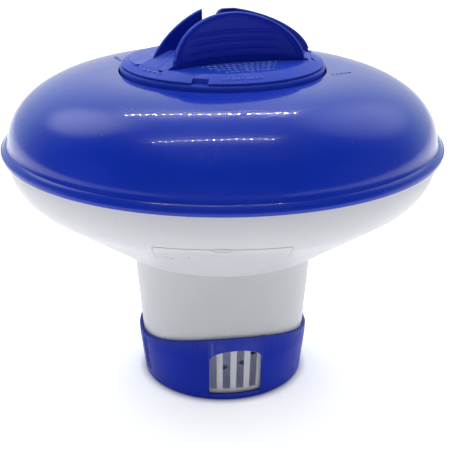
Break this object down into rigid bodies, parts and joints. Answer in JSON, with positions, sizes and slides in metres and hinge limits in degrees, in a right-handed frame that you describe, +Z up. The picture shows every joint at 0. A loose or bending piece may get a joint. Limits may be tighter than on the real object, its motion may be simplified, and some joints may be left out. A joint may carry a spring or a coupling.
{
  "type": "floating chlorine dispenser",
  "caption": "Collapsible floating pool dispenser: domed float with filling lid, telescoping slotted tablet chamber and a turning dosing ring.",
  "frame": {"origin": "middle of the dosing ring's flat foot, where the dispenser stands", "axes": "+Z up along the dispenser's axis, -Y towards the front dosing window, give or take 9 degrees"},
  "size_m": [0.2032, 0.2032, 0.179],
  "materials": {
    "float_blue": "glossy moulded polypropylene",
    "hull_white": "satin, slightly translucent moulded polypropylene",
    "well_white": "satin moulded polypropylene",
    "chamber_white": "satin moulded polypropylene",
    "ring_blue": "satin moulded polypropylene",
    "lid_blue": "semi-gloss moulded polypropylene",
    "seal_rubber": "soft black rubber"
  },
  "bodies": {
    "float": {"upper_shell": "float_blue", "lower_hull": "hull_white", "inner_well": "well_white"},
    "chamber": {"tablet_chamber": "chamber_white"},
    "ring": {"dosing_ring": "ring_blue"},
    "seal": {"lid_seal": "seal_rubber"},
    "lid": {"lid": "lid_blue"}
  },
  "joints": [
    {"name": "chamber_slide", "type": "slide", "parent": "float", "child": "chamber", "axis": [0, 0, 1], "range_m": [0, 0.041]},
    {"name": "ring_turn", "type": "hinge", "parent": "chamber", "child": "ring", "pos_m": [0, 0, 0], "axis": [0, 0, 1], "range_deg": [0, 60]},
    {"name": "lid_lift", "type": "slide", "parent": "float", "child": "seal", "axis": [0, 0, 1], "range_m": [0, 0.04]},
    {"name": "lid_turn", "type": "hinge", "parent": "seal", "child": "lid", "pos_m": [0, 0, 0.15], "axis": [0, 0, -1], "range_deg": [0, 60]}
  ]
}
